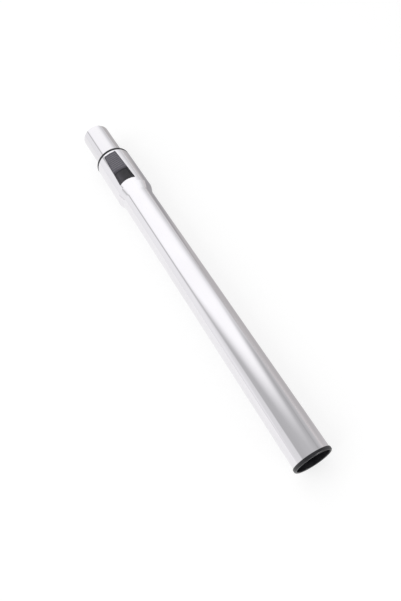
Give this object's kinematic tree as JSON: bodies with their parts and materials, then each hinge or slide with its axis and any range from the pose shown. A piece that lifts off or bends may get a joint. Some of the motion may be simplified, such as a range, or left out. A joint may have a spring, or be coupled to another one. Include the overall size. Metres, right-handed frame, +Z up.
{
  "type": "telescopic vacuum extension tube",
  "caption": "Chromed telescopic suction tube with a swaged collar, a thumb-slide latch in the collar's window, a plain narrow end and a black socket ring at the wide end.",
  "frame": {"origin": "centre of the wide end's mouth, on the tube's axis", "axes": "+X along the tube towards the narrow end, +Z up through the slide button, with the tube lying"},
  "size_m": [0.458, 0.0408, 0.0416],
  "materials": {
    "chromed_outer": "polished chrome plating on steel",
    "chromed_inner": "polished chrome plating on steel",
    "black_ring": "satin black moulding",
    "bush_plastic": "natural bearing plastic",
    "sleeve_plastic": "satin black moulding",
    "felt": "pressed grey felt",
    "button_plastic": "fine grained black moulding",
    "bar_steel": "plain steel",
    "spring_steel": "spring steel"
  },
  "bodies": {
    "outer": {"outer_tube": "chromed_outer", "end_ring": "black_ring", "guide_sleeve": "sleeve_plastic", "felt_seal": "felt", "leaf_spring": "spring_steel", "return_spring_left": "spring_steel", "return_spring_right": "spring_steel"},
    "inner": {"inner_tube": "chromed_inner", "guide_bush": "bush_plastic"},
    "button": {"slide_button": "button_plastic"},
    "bar": {"locking_bar": "bar_steel"}
  },
  "joints": [
    {"name": "tube_slide", "type": "slide", "parent": "outer", "child": "inner", "axis": [1, 0, 0], "range_m": [0, 0.2885]},
    {"name": "button_slide", "type": "slide", "parent": "outer", "child": "button", "axis": [-1, 0, 0], "range_m": [0, 0.006], "stiffness_N_per_m": 500, "springref_m": -0.006, "deforming": ["return_spring_left", "return_spring_right"]},
    {"name": "bar_lift", "type": "slide", "parent": "outer", "child": "bar", "axis": [0, 0, 1], "range_m": [0, 0.00031], "deforming": ["leaf_spring"]}
  ],
  "couplings": [
    {"joint": "bar_lift", "follows": "button_slide", "ratio": 0.05}
  ]
}
